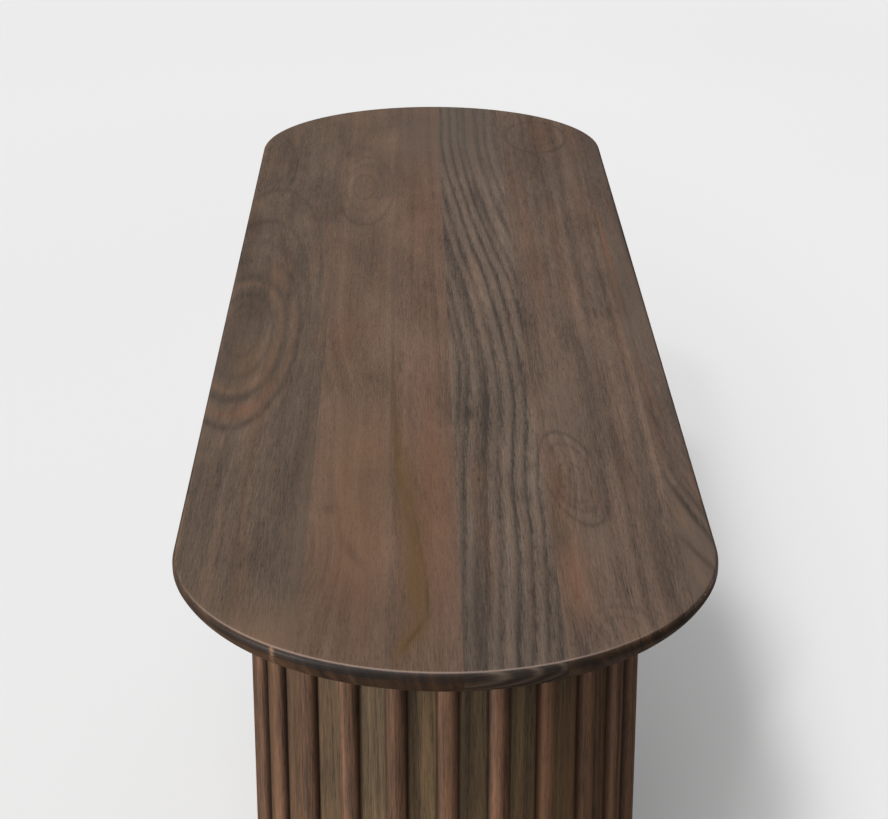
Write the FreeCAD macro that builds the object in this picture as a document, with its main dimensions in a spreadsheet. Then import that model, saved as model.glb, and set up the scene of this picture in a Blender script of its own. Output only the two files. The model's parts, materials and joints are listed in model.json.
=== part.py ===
"""Hall table: a pill-shaped top of six edge-glued boards, bolted to two drums of mitred staves and ribs.

Millimetres. +Z is up, +X runs along the table and -Y is its front. The origin lies on the floor, below
the middle of the top. Each drum stands on the axis of the round end above it.
"""
import FreeCAD
import Part
import Sketcher
import math
import os

# Driving sizes: name, value and what it measures
DRIVING_SIZES = [
    ("table_height", 780, "floor to the upper face of the top"),
    ("top_length", 1400, "over the two round ends"),
    ("top_thickness", 20, "boards, planed"),
    ("board_1_width", 88.5, "front board"),
    ("board_2_width", 57.5, "second board"),
    ("board_3_width", 45.2, "third board"),
    ("board_4_width", 63.8, "fourth board"),
    ("board_5_width", 85, "fifth board"),
    ("board_6_width", 25, "back board"),
    ("edge_face", 6, "upright face of the rim, above the bevel"),
    ("bevel_inset", 16, "how far the bevel runs in below the rim"),
    ("edge_ease", 1.2, "small bevel that eases the rim's upper arris"),
    ("drum_width", 250, "staves, across opposite flats"),
    ("stave_count", 24, "staves, and ribs, in one drum"),
    ("stave_thickness", 12, "stave, back to face"),
    ("rib_width", 14, "half-round rib, twice its height"),
    ("plate_thickness", 18, "top plate, middle ring and bottom ring"),
    ("ring_bore", 150, "hand hole through the rings"),
    ("bolt_spacing_along", 80, "bolt centres along the table"),
    ("bolt_spacing_across", 108, "bolt centres across the table"),
    ("bolt_diameter", 8, "bolt shank"),
    ("bolt_head_diameter", 14, "bolt head"),
    ("bolt_head_height", 5, "bolt head"),
    ("key_width", 5, "hexagon socket in the bolt head, across corners"),
    ("key_depth", 3, "hexagon socket in the bolt head"),
    ("bolt_clearance", 1, "bolt hole over bolt shank, on the diameter"),
    ("washer_diameter", 22, "washer, outside"),
    ("washer_thickness", 1.6, "washer"),
    ("insert_diameter", 12, "threaded insert, outside"),
    ("insert_length", 12, "threaded insert"),
    ("hole_spare", 1, "blind holes, beyond what they hold"),
    ("thread_clearance", 0.1, "screwed and pressed fits, on the diameter"),
    ("glide_diameter", 30, "glide, outside"),
    ("glide_height", 5, "floor to the foot of the drum"),
    ("glide_chamfer", 1, "bevel round the foot of the glide"),
    ("glide_recess", 1, "depth of the screw head above the floor"),
    ("screw_diameter", 4, "glide screw, shank"),
    ("screw_head_diameter", 8, "glide screw, countersunk head"),
    ("screw_length", 14, "glide screw, head to tip"),
    ("screw_clearance", 0.4, "glide hole over glide screw, on the diameter"),
]

BOARDS = 6
PIECES_PER_GROUP = 3
GLIDES = 4
DRUMS = {"left": -1, "right": 1}
HEXAGON = 6
LEVEL_TOLERANCE = 1e-6

doc = FreeCAD.newDocument("HallTable")
sheet = doc.addObject("Spreadsheet::Sheet", "Sizes")
nodes = []


def fill_sheet():
    """Write each driving size to a row of the sheet and name its cell."""
    for row, (name, value, meaning) in enumerate(DRIVING_SIZES, start=1):
        sheet.set(f"A{row}", name)
        sheet.set(f"B{row}", str(value))
        sheet.set(f"C{row}", meaning)
        sheet.setAlias(f"B{row}", name)
    doc.recompute()


fill_sheet()

# Lengths that several pieces share, as expressions on the sheet
TOP_WIDTH = " + ".join(f"Sizes.board_{number}_width" for number in range(1, BOARDS + 1))
TOP_UNDERSIDE = "Sizes.table_height - Sizes.top_thickness"
DRUM_HEIGHT = "Sizes.table_height - Sizes.top_thickness - Sizes.glide_height"
PITCH = "360 / Sizes.stave_count"
HALF_PITCH = "180 / Sizes.stave_count"
STAVE_BACK = "Sizes.drum_width / 2 - Sizes.stave_thickness"
RIB_SEAT = f"(Sizes.drum_width - Sizes.rib_width * sin({HALF_PITCH})) / 2 / cos({HALF_PITCH})"
END_RADIUS = f"({TOP_WIDTH}) / 2"
END_AXIS = f"(Sizes.top_length / 2 - {END_RADIUS})"
BOLT_HOLE = "Sizes.bolt_diameter + Sizes.bolt_clearance"
INSERT_HOLE = "Sizes.insert_diameter + Sizes.thread_clearance"
PILOT_HOLE = "Sizes.screw_diameter + Sizes.thread_clearance"
GLIDE_CIRCLE = f"(Sizes.ring_bore / 2 + {STAVE_BACK}) / 2"


def bind(item, **expressions):
    """Tie properties of an object to expressions; two underscores stand for a dot."""
    for path, expression in expressions.items():
        item.setExpression(path.replace("__", "."), expression)
    return item


def place(item, x="0", y="0", z="0", turn="0"):
    """Tie an object's place, and its turn about the upright axis, to expressions."""
    return bind(item, Placement__Base__x=x, Placement__Base__y=y, Placement__Base__z=z,
                Placement__Rotation__Angle=turn)


def keep(item, label):
    """Note an object as a piece of the table, under the label that names its file."""
    item.Label = label
    nodes.append(item)


def origin_feature(body, role):
    """Find one of a body's own origin planes or axes."""
    return next(feature for feature in body.Origin.OriginFeatures if feature.Role == role)


def start_body(name):
    """Open an empty body."""
    return doc.addObject("PartDesign::Body", name)


def start_sketch(body, name, plane):
    """Attach a sketch to one of its body's origin planes."""
    sketch = body.newObject("Sketcher::SketchObject", name)
    sketch.AttachmentSupport = [(origin_feature(body, plane), "")]
    sketch.MapMode = "FlatFace"
    return sketch


def constrain(sketch, kind, *references, name=None, size=None):
    """Add a constraint and, where it has a name, tie its size to an expression."""
    index = sketch.addConstraint(Sketcher.Constraint(kind, *references))
    if name:
        sketch.renameConstraint(index, name)
        sketch.setExpression(f"Constraints.{name}", size)


def draw_loop(sketch, corners):
    """Draw straight lines through the corners and back to the first, joined end to end."""
    points = [FreeCAD.Vector(x, y, 0) for x, y in corners]
    following = points[1:] + points[:1]
    lines = [sketch.addGeometry(Part.LineSegment(a, b), False) for a, b in zip(points, following)]
    for line, after in zip(lines, lines[1:] + lines[:1]):
        sketch.addConstraint(Sketcher.Constraint("Coincident", line, 2, after, 1))
    return lines


def pad(body, name, sketch, length):
    """Raise a sketch to a solid."""
    feature = body.newObject("PartDesign::Pad", name)
    feature.Profile = sketch
    return bind(feature, Length=length)


def cylinder(name, diameter, height, z="0"):
    """Make an upright cylinder from its diameter."""
    item = doc.addObject("Part::Cylinder", name)
    bind(item, Radius=f"({diameter}) / 2", Height=height)
    return place(item, z=z)


def cut(name, base, tool):
    """Take one shape out of another."""
    item = doc.addObject("Part::Cut", name)
    item.Base = base
    item.Tool = tool
    return item


def copy_of(item, name, x="0", y="0", turn="0"):
    """Place a linked copy of a piece."""
    link = doc.addObject("App::Link", name)
    link.LinkedObject = item
    return place(link, x=x, y=y, turn=turn)


def group(name, items):
    """Gather separate solids into one object."""
    item = doc.addObject("Part::Compound", name)
    item.Links = items
    return item


def bolt_pattern(item, name):
    """Copy a piece to the four bolt positions of a drum."""
    copies = []
    for number, (along, across) in enumerate([(-1, -1), (1, -1), (1, 1), (-1, 1)], start=1):
        x = f"{along} * Sizes.bolt_spacing_along / 2"
        y = f"{across} * Sizes.bolt_spacing_across / 2"
        copies.append(copy_of(item, f"{name}{number}", x, y))
    return copies


def glide_pattern(item, name):
    """Copy a piece to the glide positions of a drum, midway across its bottom ring."""
    copies = []
    for number in range(GLIDES):
        angle = 360 / GLIDES * (number + 0.5)
        x = f"cos({angle}) * {GLIDE_CIRCLE}"
        y = f"sin({angle}) * {GLIDE_CIRCLE}"
        copies.append(copy_of(item, f"{name}{number + 1}", x, y))
    return copies


def edges_at(shape, height):
    """Name the edges of a shape that lie level at a height."""
    names = []
    for number, edge in enumerate(shape.Edges, start=1):
        box = edge.BoundBox
        if abs(box.ZMin - height) < LEVEL_TOLERANCE and abs(box.ZMax - height) < LEVEL_TOLERANCE:
            names.append(f"Edge{number}")
    return names


def sketch_top_outline(body):
    """Draw the pill: two half circles joined by two straight sides."""
    sketch = start_sketch(body, "TopOutline", "XY_Plane")
    radius = sum(sheet.get(f"board_{number}_width") for number in range(1, BOARDS + 1)) / 2
    axis = sheet.top_length / 2 - radius
    up = FreeCAD.Vector(0, 0, 1)
    quarter = math.pi / 2
    right_circle = Part.Circle(FreeCAD.Vector(axis, 0, 0), up, radius)
    left_circle = Part.Circle(FreeCAD.Vector(-axis, 0, 0), up, radius)
    right = sketch.addGeometry(Part.ArcOfCircle(right_circle, -quarter, quarter), False)
    left = sketch.addGeometry(Part.ArcOfCircle(left_circle, quarter, 3 * quarter), False)
    back_ends = FreeCAD.Vector(axis, radius, 0), FreeCAD.Vector(-axis, radius, 0)
    front_ends = FreeCAD.Vector(-axis, -radius, 0), FreeCAD.Vector(axis, -radius, 0)
    back = sketch.addGeometry(Part.LineSegment(*back_ends), False)
    front = sketch.addGeometry(Part.LineSegment(*front_ends), False)
    for line, arc, after in [(back, right, left), (front, left, right)]:
        constrain(sketch, "Tangent", arc, 2, line, 1)
        constrain(sketch, "Tangent", line, 2, after, 1)
    constrain(sketch, "Equal", right, left)
    constrain(sketch, "PointOnObject", right, 3, -1)
    constrain(sketch, "Symmetric", right, 3, left, 3, -1, 1)
    constrain(sketch, "Radius", right, radius, name="end_radius", size=END_RADIUS)
    constrain(sketch, "DistanceX", -1, 1, right, 3, axis, name="end_axis", size=END_AXIS)
    return sketch


def bore_insert_holes(body):
    """Sink the blind holes for the threaded inserts into the underside of the top."""
    sketch = start_sketch(body, "InsertHoles", "XY_Plane")
    up = FreeCAD.Vector(0, 0, 1)
    axis = sheet.top_length / 2 - body.Shape.BoundBox.YMax
    signs = [(end, along, across) for end in (-1, 1) for along in (-1, 1) for across in (-1, 1)]
    for number, (end, along, across) in enumerate(signs):
        x = end * axis + along * sheet.bolt_spacing_along / 2
        y = across * sheet.bolt_spacing_across / 2
        circle = Part.Circle(FreeCAD.Vector(x, y, 0), up, sheet.insert_diameter / 2)
        sketch.addGeometry(circle, False)
        constrain(sketch, "DistanceX", -1, 1, number, 3, x, name=f"hole_{number}_x",
                  size=f"{end} * {END_AXIS} + {along} * Sizes.bolt_spacing_along / 2")
        constrain(sketch, "DistanceY", -1, 1, number, 3, y, name=f"hole_{number}_y",
                  size=f"{across} * Sizes.bolt_spacing_across / 2")
        constrain(sketch, "Radius", number, sheet.insert_diameter / 2, name=f"hole_{number}_radius",
                  size=f"({INSERT_HOLE}) / 2")
    holes = body.newObject("PartDesign::Pocket", "InsertHolePocket")
    holes.Profile = sketch
    holes.Reversed = True
    bind(holes, Length="Sizes.insert_length + Sizes.hole_spare")


def make_top_blank():
    """Shape the glued-up top: pill outline, bevel below the rim, eased arris above it, insert holes."""
    body = start_body("TopBlank")
    place(body, z=TOP_UNDERSIDE)
    slab = pad(body, "TopSlab", sketch_top_outline(body), "Sizes.top_thickness")
    doc.recompute()
    bevel = body.newObject("PartDesign::Chamfer", "UnderBevel")
    bevel.Base = (slab, edges_at(slab.Shape, 0))
    bevel.ChamferType = "Two distances"
    bind(bevel, Size="Sizes.top_thickness - Sizes.edge_face", Size2="Sizes.bevel_inset")
    doc.recompute()
    arris = body.newObject("PartDesign::Chamfer", "UpperArris")
    arris.Base = (bevel, edges_at(bevel.Shape, sheet.top_thickness))
    bind(arris, Size="Sizes.edge_ease")
    doc.recompute()
    bore_insert_holes(body)
    return body


def make_boards(blank):
    """Part the top along its glue lines, front to back."""
    front_edge = f"-{END_RADIUS}"
    for number in range(1, BOARDS + 1):
        plank = doc.addObject("Part::Box", f"Plank{number}")
        bind(plank, Length="Sizes.top_length", Width=f"Sizes.board_{number}_width",
             Height="Sizes.top_thickness")
        place(plank, x="-Sizes.top_length / 2", y=front_edge, z=TOP_UNDERSIDE)
        front_edge += f" + Sizes.board_{number}_width"
        board = doc.addObject("Part::Common", f"Board{number}")
        board.Base = plank
        board.Tool = blank
        keep(board, f"top_board_{number}")


def make_stave():
    """Mitre one stave: flat face, sides on the drum's radii, front corners planed to seat the ribs."""
    half = math.radians(180 / sheet.stave_count)
    face = sheet.drum_width / 2
    back = face - sheet.stave_thickness
    land = sheet.rib_width / 2
    seat = (face - land * math.sin(half)) / math.cos(half)
    half_face = face * math.tan(half - math.atan(land / seat))
    side = [(back, back * math.tan(half)), (seat * math.cos(half), seat * math.sin(half)), (face, half_face)]
    body = start_body("Stave")
    sketch = start_sketch(body, "StaveSection", "XY_Plane")
    corners = side + [(x, -y) for x, y in reversed(side)]
    mitre, rib_land, flat, far_land, far_mitre, _ = draw_loop(sketch, corners)
    for line, mirrored in [(mitre, far_mitre), (rib_land, far_land), (flat, flat)]:
        constrain(sketch, "Symmetric", line, 1, mirrored, 2, -1)
    constrain(sketch, "PointOnObject", -1, 1, mitre)
    constrain(sketch, "Perpendicular", mitre, rib_land)
    constrain(sketch, "Angle", mitre, half, name="mitre", size=HALF_PITCH)
    constrain(sketch, "Distance", rib_land, land, name="land", size="Sizes.rib_width / 2")
    constrain(sketch, "DistanceX", -1, 1, rib_land, 2, face, name="face", size="Sizes.drum_width / 2")
    constrain(sketch, "DistanceX", -1, 1, mitre, 1, back, name="back", size=STAVE_BACK)
    pad(body, "StaveLength", sketch, DRUM_HEIGHT)
    return body


def make_rib():
    """Round one rib: a half circle whose flat back lies on the planed joint of two staves."""
    half = math.radians(180 / sheet.stave_count)
    radius = sheet.rib_width / 2
    seat = (sheet.drum_width / 2 - radius * math.sin(half)) / math.cos(half)
    body = start_body("Rib")
    sketch = start_sketch(body, "RibSection", "XY_Plane")
    circle = Part.Circle(FreeCAD.Vector(seat, 0, 0), FreeCAD.Vector(0, 0, 1), radius)
    bow = sketch.addGeometry(Part.ArcOfCircle(circle, -math.pi / 2, math.pi / 2), False)
    ends = FreeCAD.Vector(seat, radius, 0), FreeCAD.Vector(seat, -radius, 0)
    back = sketch.addGeometry(Part.LineSegment(*ends), False)
    constrain(sketch, "Coincident", bow, 2, back, 1)
    constrain(sketch, "Coincident", back, 2, bow, 1)
    constrain(sketch, "Vertical", back)
    constrain(sketch, "PointOnObject", bow, 3, -1)
    constrain(sketch, "PointOnObject", bow, 3, back)
    constrain(sketch, "Radius", bow, radius, name="round", size="Sizes.rib_width / 2")
    constrain(sketch, "DistanceX", -1, 1, bow, 3, seat, name="seat", size=RIB_SEAT)
    pad(body, "RibLength", sketch, DRUM_HEIGHT)
    return body


def make_plate(name, holes):
    """Saw a many-sided plate that fills the drum, and take its holes out."""
    outline = doc.addObject("Part::RegularPolygon", f"{name}Outline")
    bind(outline, Polygon="Sizes.stave_count", Circumradius=f"({STAVE_BACK}) / cos({HALF_PITCH})")
    blank = doc.addObject("Part::Extrusion", f"{name}Blank")
    blank.Base = outline
    blank.DirMode = "Normal"
    blank.Solid = True
    bind(blank, LengthFwd="Sizes.plate_thickness")
    return cut(name, blank, holes)


def make_bolt():
    """Turn one bolt, head down, with its bearing face at height zero and a hexagon socket in its head."""
    length = "Sizes.washer_thickness + Sizes.plate_thickness + Sizes.insert_length"
    head = cylinder("BoltHead", "Sizes.bolt_head_diameter", "Sizes.bolt_head_height",
                    z="-Sizes.bolt_head_height")
    shank = cylinder("BoltShank", "Sizes.bolt_diameter", length)
    blank = doc.addObject("Part::Fuse", "BoltBlank")
    blank.Base = head
    blank.Tool = shank
    socket = doc.addObject("Part::Prism", "BoltSocket")
    socket.Polygon = HEXAGON
    bind(socket, Circumradius="Sizes.key_width / 2", Height="Sizes.key_depth")
    place(socket, z="-Sizes.bolt_head_height")
    return cut("Bolt", blank, socket)


def make_collar(name, outside, inside, height):
    """Make a washer or a bush from its two diameters."""
    return cut(name, cylinder(f"{name}Outside", outside, height), cylinder(f"{name}Bore", inside, height))


def turn_profile(name, corners, sizes):
    """Spin a closed profile about the upright axis; each corner's radius and height has an expression."""
    body = start_body(name)
    sketch = start_sketch(body, f"{name}Profile", "XZ_Plane")
    lines = draw_loop(sketch, corners)
    for line, (x, z), (radius, height) in zip(lines, corners, sizes):
        constrain(sketch, "DistanceX", -1, 1, line, 1, x, name=f"radius_{line}", size=radius)
        constrain(sketch, "DistanceY", -1, 1, line, 1, z, name=f"height_{line}", size=height)
    turned = body.newObject("PartDesign::Revolution", f"{name}Turning")
    turned.Profile = sketch
    turned.ReferenceAxis = (origin_feature(body, "Z_Axis"), [""])
    turned.Angle = 360
    return body


def make_glide():
    """Mould one glide, standing on the floor, with the countersunk hole for its screw."""
    hole = (sheet.screw_diameter + sheet.screw_clearance) / 2
    recess = (sheet.screw_head_diameter + sheet.screw_clearance) / 2
    outside = sheet.glide_diameter / 2
    foot = outside - sheet.glide_chamfer
    seat = sheet.glide_recess + recess - hole
    corners = [(hole, sheet.glide_height), (outside, sheet.glide_height), (outside, sheet.glide_chamfer),
               (foot, 0), (recess, 0), (recess, sheet.glide_recess), (hole, seat)]
    hole_size = "(Sizes.screw_diameter + Sizes.screw_clearance) / 2"
    recess_size = "(Sizes.screw_head_diameter + Sizes.screw_clearance) / 2"
    outside_size = "Sizes.glide_diameter / 2"
    seat_size = "Sizes.glide_recess + (Sizes.screw_head_diameter - Sizes.screw_diameter) / 2"
    sizes = [(hole_size, "Sizes.glide_height"), (outside_size, "Sizes.glide_height"),
             (outside_size, "Sizes.glide_chamfer"), (f"{outside_size} - Sizes.glide_chamfer", "0"),
             (recess_size, "0"), (recess_size, "Sizes.glide_recess"), (hole_size, seat_size)]
    return turn_profile("Glide", corners, sizes)


def make_screw():
    """Turn one countersunk wood screw, head down, as it stands in its glide."""
    head = sheet.screw_head_diameter / 2
    shank = sheet.screw_diameter / 2
    under_head = sheet.glide_recess + head - shank
    tip = sheet.glide_recess + sheet.screw_length
    corners = [(0, sheet.glide_recess), (head, sheet.glide_recess), (shank, under_head),
               (shank, tip - sheet.screw_diameter), (0, tip)]
    head_size = "Sizes.screw_head_diameter / 2"
    shank_size = "Sizes.screw_diameter / 2"
    tip_size = "Sizes.glide_recess + Sizes.screw_length"
    sizes = [("0", "Sizes.glide_recess"), (head_size, "Sizes.glide_recess"),
             (shank_size, f"Sizes.glide_recess + {head_size} - {shank_size}"),
             (shank_size, f"{tip_size} - Sizes.screw_diameter"), ("0", tip_size)]
    return turn_profile("GlideScrew", corners, sizes)


def ring_copies(item, name):
    """Copy a stave or a rib to the neighbouring places of one group."""
    return [copy_of(item, f"{name}{step}", turn=f"{step} * {PITCH}") for step in range(PIECES_PER_GROUP)]


def stand_in_drums(name, items, z, turn="0"):
    """Keep one node of these solids in each drum."""
    for side, sign in DRUMS.items():
        label = f"{side}_{name}"
        keep(place(group(label, items), x=f"{sign} * {END_AXIS}", z=z, turn=turn), label)


def make_drum_walls():
    """Stand the staves round each drum's axis and the ribs over their joints, three to a node."""
    count = round(sheet.stave_count)
    walls = [("staves", ring_copies(make_stave(), "StaveCopy"), 0.5),
             ("ribs", ring_copies(make_rib(), "RibCopy"), 0)]
    for name, copies, offset in walls:
        for number, first in enumerate(range(0, count, PIECES_PER_GROUP), start=1):
            members = copies[:count - first]
            stand_in_drums(f"{name}_{number}", members, "Sizes.glide_height", f"{first + offset} * {PITCH}")


def make_drum_plates():
    """Fill each drum with its top plate, middle ring and bottom ring."""
    bolt_hole = cylinder("BoltHole", BOLT_HOLE, "Sizes.plate_thickness")
    bore = cylinder("RingBore", "Sizes.ring_bore", "Sizes.plate_thickness")
    pilot_depth = "Sizes.glide_recess + Sizes.screw_length + Sizes.hole_spare - Sizes.glide_height"
    pilot = cylinder("PilotHole", PILOT_HOLE, pilot_depth)
    bolt_holes = group("BoltHoles", bolt_pattern(bolt_hole, "BoltHoleCopy"))
    ring_holes = group("RingHoles", [bore] + glide_pattern(pilot, "PilotHoleCopy"))
    top_plate = make_plate("TopPlate", bolt_holes)
    middle_ring = make_plate("MiddleRing", bore)
    bottom_ring = make_plate("BottomRing", ring_holes)
    stand_in_drums("top_plate", [top_plate], f"{TOP_UNDERSIDE} - Sizes.plate_thickness")
    stand_in_drums("middle_ring", [middle_ring],
                   f"Sizes.glide_height + ({DRUM_HEIGHT} - Sizes.plate_thickness) / 2")
    stand_in_drums("bottom_ring", [bottom_ring], "Sizes.glide_height")


def make_fixings():
    """Bolt the top to the drums, and screw the glides under them."""
    insert = make_collar("Insert", "Sizes.insert_diameter", "Sizes.bolt_diameter + Sizes.thread_clearance",
                         "Sizes.insert_length")
    washer = make_collar("Washer", "Sizes.washer_diameter", BOLT_HOLE, "Sizes.washer_thickness")
    washer_seat = f"{TOP_UNDERSIDE} - Sizes.plate_thickness - Sizes.washer_thickness"
    stand_in_drums("threaded_inserts", bolt_pattern(insert, "InsertCopy"), TOP_UNDERSIDE)
    stand_in_drums("washers", bolt_pattern(washer, "WasherCopy"), washer_seat)
    stand_in_drums("bolts", bolt_pattern(make_bolt(), "BoltCopy"), washer_seat)
    stand_in_drums("glides", glide_pattern(make_glide(), "GlideCopy"), "0")
    stand_in_drums("glide_screws", glide_pattern(make_screw(), "GlideScrewCopy"), "0")


def check_and_write():
    """Stop on any failed object or bad shape, then write one file per piece."""
    doc.recompute()
    for item in doc.Objects:
        if "Invalid" in item.State or "Error" in item.State:
            raise RuntimeError(f"{item.Label} failed: {item.State}")
    for node in nodes:
        if node.Shape.isNull() or not node.Shape.isValid():
            raise RuntimeError(f"{node.Label} has no valid shape")
    os.makedirs("parts", exist_ok=True)
    for node in nodes:
        node.Shape.exportStep(f"parts/{node.Label}.step")


make_boards(make_top_blank())
make_drum_walls()
make_drum_plates()
make_fixings()
check_and_write()
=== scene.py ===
"""Hall table: a long round-ended top of six boards on two fluted drums, with its finishes and its studio."""

import json
import math
from collections import namedtuple

import bpy
import numpy as np
from bpy.props import FloatProperty, FloatVectorProperty, IntProperty, PointerProperty
from mathutils import Matrix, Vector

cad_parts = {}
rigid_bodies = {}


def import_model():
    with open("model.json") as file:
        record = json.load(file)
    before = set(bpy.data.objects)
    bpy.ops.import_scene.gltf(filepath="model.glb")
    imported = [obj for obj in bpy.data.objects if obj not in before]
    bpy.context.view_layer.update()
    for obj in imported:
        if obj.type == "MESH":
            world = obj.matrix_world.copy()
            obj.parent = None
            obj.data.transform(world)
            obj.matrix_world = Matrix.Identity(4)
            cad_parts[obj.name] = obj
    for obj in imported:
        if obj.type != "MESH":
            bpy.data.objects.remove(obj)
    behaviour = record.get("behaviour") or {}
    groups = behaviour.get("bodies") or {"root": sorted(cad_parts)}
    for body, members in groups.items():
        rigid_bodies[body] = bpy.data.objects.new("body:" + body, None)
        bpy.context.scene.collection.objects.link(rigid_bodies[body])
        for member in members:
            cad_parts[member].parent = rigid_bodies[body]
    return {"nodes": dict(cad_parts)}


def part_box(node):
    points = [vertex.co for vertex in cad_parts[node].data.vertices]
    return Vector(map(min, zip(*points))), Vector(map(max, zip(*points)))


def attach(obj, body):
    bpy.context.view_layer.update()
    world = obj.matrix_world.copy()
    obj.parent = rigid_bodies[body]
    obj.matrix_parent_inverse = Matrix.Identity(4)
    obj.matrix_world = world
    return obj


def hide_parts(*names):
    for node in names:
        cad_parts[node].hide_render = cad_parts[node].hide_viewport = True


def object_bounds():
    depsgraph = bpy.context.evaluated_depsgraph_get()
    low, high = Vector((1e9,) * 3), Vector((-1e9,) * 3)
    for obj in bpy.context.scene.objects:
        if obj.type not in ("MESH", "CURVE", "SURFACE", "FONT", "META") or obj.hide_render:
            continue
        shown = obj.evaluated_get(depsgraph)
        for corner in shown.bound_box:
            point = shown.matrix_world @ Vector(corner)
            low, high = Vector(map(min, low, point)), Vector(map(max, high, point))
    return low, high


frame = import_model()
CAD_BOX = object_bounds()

bl_info = {
    "name": "Hall Table",
    "version": (1, 0, 0),
    "blender": (4, 5, 0),
    "location": "View3D > Sidebar > Hall Table",
    "description": "Dresses a hall table with a round-ended top on two fluted drums",
    "category": "Object",
}

BODY = "root"

BOARD_NAMES = [f"top_board_{n}" for n in range(1, 7)]
SIDES = ("left", "right")
GROUPS = range(1, 9)
RIBS_PER_GROUP = 3
RIM_LOW, RIM_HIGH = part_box(BOARD_NAMES[0])
TOP_HALF_WIDTH = CAD_BOX[1].y
TOP_AXIS = CAD_BOX[1].x - TOP_HALF_WIDTH
DRUM_LOW, DRUM_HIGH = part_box("right_top_plate")
DRUM_AXIS = (DRUM_LOW.x + DRUM_HIGH.x) / 2
RIB_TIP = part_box("right_ribs_1")[1].x - DRUM_AXIS
PLY_LEVELS = {part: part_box(f"right_{part}") for part in ("top_plate", "middle_ring", "bottom_ring")}
PLIES = 13

# Edges sharper than these stay creased.
BOARD_CREASE = math.radians(40)
RIB_CREASE = math.radians(50)

# Slats: shift round the drum and start of the painted corner shade, as shares of a slat, and the draws that
# pick redder staves.
RIB_SHIFT, STAVE_SHIFT = 0.5, 0.0
RIB_EDGE, STAVE_EDGE = 0.215, 0.285
CORNER_SHADE_FADE = 0.05
HEARTWOOD_DRAW = 3781.5

FLOOR_REACH = 40.0
SENSOR_WIDTH = 36.0  # millimetres
VIEW_REACH = 200.0

# The suns: what each does, its strength, its spread in radians, the way it travels and what it lights.
Sun = namedtuple("Sun", "name purpose strength spread direction lit")
SUNS = (
    Sun("floor", "Broad light on the floor, from front left", 2.366, 0.47, (-1.783, 0.223, -1.0), "floor"),
    Sun("second", "Steep light on the floor, from the left", 0.585, 0.163, (-0.455, 0.345, -1.0), "floor"),
    Sun("third", "Narrow light on the floor, from front left", 1.035, 0.068, (-1.259, 0.325, -1.0), "floor"),
    Sun("fourth", "Low narrow light on the floor", 0.391, 0.038, (-1.75, 0.411, -1.0), "floor"),
    Sun("high", "Soft light on the table from above", 1.69, 0.35, (-0.25, 0.21, -0.76), "table"),
    Sun("side", "Low light on the table from the left", 2.42, 0.25, (-0.358, 0.934, -0.06), "table"),
    Sun("front", "Broad light on the table from the front", 0.87, 2.4, (-1.0, 0.15, -0.15), "table"),
    Sun("back", "Weak level light on the drums from behind", 1.3, 0.3, (0.85, -0.5, -0.03), "drums"),
    Sun("rim", "Weak rising light on the top's rim from behind", 0.7, 0.2, (0.75, -0.6, 0.2), "boards"),
)

# Noises, with their scales per metre. Those of timber have the grain's direction first.
Noise = namedtuple("Noise", "scale detail roughness", defaults=(2.0, 0.5))
FIBRES = Noise((38.0, 950.0, 950.0), 3.0, 0.65)
STREAKS = Noise((4.2, 170.0, 170.0), 3.0, 0.6)
CLOUDS = Noise((6.0, 22.0, 22.0), 3.0, 0.6)
CASTS = Noise((3.1, 61.0, 61.0), 3.0, 0.6)
FLECKS = Noise((120.0, 2200.0, 2200.0), 1.0)
BOARD_WANDER = Noise((2.2, 9.0, 9.0))
SLAT_WANDER = Noise((1.0, 0.6, 3.0), 1.0)
PLY_FUZZ = Noise((60.0, 60.0, 900.0))
PLY_SWIRL = Noise((5.0, 40.0, 5.0))
CRYSTALS = Noise((700.0, 700.0, 700.0))
SPARK_GRAIN = Noise((2500.0, 2500.0, 2500.0))
SCUFFS = Noise((90.0, 90.0, 90.0), 3.0)
FLOOR_CLOUDS = Noise((0.6, 0.6, 0.6), 1.0)
NOISE_RANGE = (0.3, 0.7)

# Timber: how far each noise shifts its lightness, and the tones that it runs between, as shares of its own.
MIDDLE_SHADE = 0.5
FIBRE_SHIFT = 0.36
STREAK_SHIFT = 0.17
CLOUD_SHIFT = 0.2
PORE_SHIFT = -0.24
DARK_TONE = (0.33, 0.35, 0.37)
LIGHT_TONE = (2.0, 1.97, 1.94)
CAST_COVER = 0.3
PORE_DULLNESS = 0.12
FIBRE_RELIEF = 0.6
TIMBER_SPECULAR = 0.35

# Timber: where a change begins and is complete, and with four numbers what it leads from and to.
PORE_LIMITS = (0.52, 0.7)
COPPER_LIMITS = (0.52, 0.72)
ASH_LIMITS = (0.48, 0.28)
RIM_FACING = (0.95, 0.8)
BEVEL_FACING = (-0.1, -0.6)
END_FACING = (0.15, 0.65)
SLAT_END_FACING = (0.3, 0.9)
# The crest and highlight limits place a painted highlight on the rim's upper arris.
CREST_START = (0.76, 0.9, 0.0, 0.6)
CREST_STOP = (0.995, 0.965)
HIGHLIGHT_ALONG = (0.3, 0.75)
HIGHLIGHT_ACROSS = (0.15, 0.07)
BROKEN_LINES = (0.35, 0.62, 0.45, 1.3)
HEARTWOOD_LIMITS = (0.45, 0.75)

# Boards: wander and fray in metres, the share of the bend that fibres take, and the gain in an eye.
BOARD_DRIFT = 0.008
FRAY = 0.0014
FIBRE_BEND = 0.25
EYE_FULL = 0.6
EYE_GAIN = 2.2
FADE = (0.75, 1.2)
SATIN = (0.46, 0.54)

# Slats: distance between their cuts from the log, rings across one, and how far the rings wander.
SLAT_CUT = 17.0
SLAT_RINGS = 5.0
SLAT_RING_WANDER = 3.0
SLAT_BANDS = 0.2
SLAT_LUCK = 0.1
SLAT_VIGOUR = 0.9

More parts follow.
